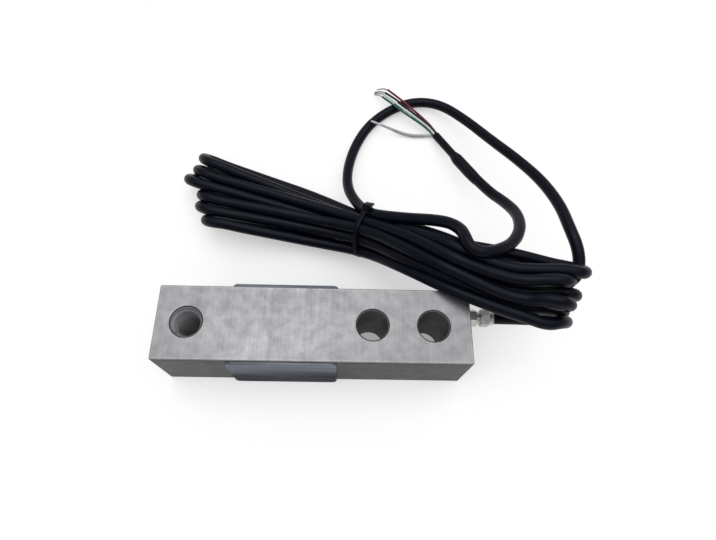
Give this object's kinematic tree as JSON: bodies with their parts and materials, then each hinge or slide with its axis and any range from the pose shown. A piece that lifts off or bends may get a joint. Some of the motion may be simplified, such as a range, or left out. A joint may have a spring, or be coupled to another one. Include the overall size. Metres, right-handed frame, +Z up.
{
  "type": "shear beam load cell",
  "caption": "Rectangular steel shear beam load cell with a threaded load hole, through fixing holes, covered gauge pockets, a small cable gland and a tied hank of black cable.",
  "frame": {"origin": "on the bottom face, midway between the two fixing holes' axes", "axes": "+X along the beam from the load hole to the cable end, +Y to the back, +Z up along the holes"},
  "size_m": [0.1841, 0.1722, 0.0497],
  "materials": {
    "plated_steel": "satin nickel plate",
    "cover_steel": "bright sheet",
    "nickel": "bright nickel plate",
    "cable_black": "satin PVC",
    "tie_black": "satin nylon",
    "sleeve_black": "satin shrink tube",
    "wire_red": "gloss",
    "wire_black": "gloss",
    "wire_green": "gloss",
    "wire_white": "gloss",
    "tinned": "tinned",
    "braid": "tinned braid",
    "seal_rubber": "matt",
    "potting_rubber": "silicone",
    "gauge_film": "polyimide film with foil",
    "board": "glass epoxy",
    "resistor_body": "lacquer",
    "enamel_wire": "enamelled copper"
  },
  "bodies": {
    "root": {"beam": "plated_steel", "front_cover": "cover_steel", "rear_cover": "cover_steel", "front_gauge": "gauge_film", "rear_gauge": "gauge_film", "bridge_wires": "enamel_wire", "board_links": "enamel_wire", "terminal_board": "board", "span_resistor": "resistor_body", "zero_resistor": "resistor_body", "inner_lead_red": "wire_red", "inner_lead_black": "wire_black", "inner_lead_green": "wire_green", "inner_lead_white": "wire_white", "front_potting": "potting_rubber", "rear_potting": "potting_rubber", "gland_washer": "seal_rubber", "gland_body": "nickel", "gland_seal": "seal_rubber", "gland_nut": "nickel", "cable_lead": "cable_black", "cable_hank": "cable_black", "cable_tail": "cable_black", "hank_tie": "tie_black", "end_sleeve": "sleeve_black", "wire_red": "wire_red", "wire_black": "wire_black", "wire_white": "wire_white", "wire_green": "wire_green", "wire_tips": "tinned", "shield_pigtail": "braid"}
  },
  "joints": []
}
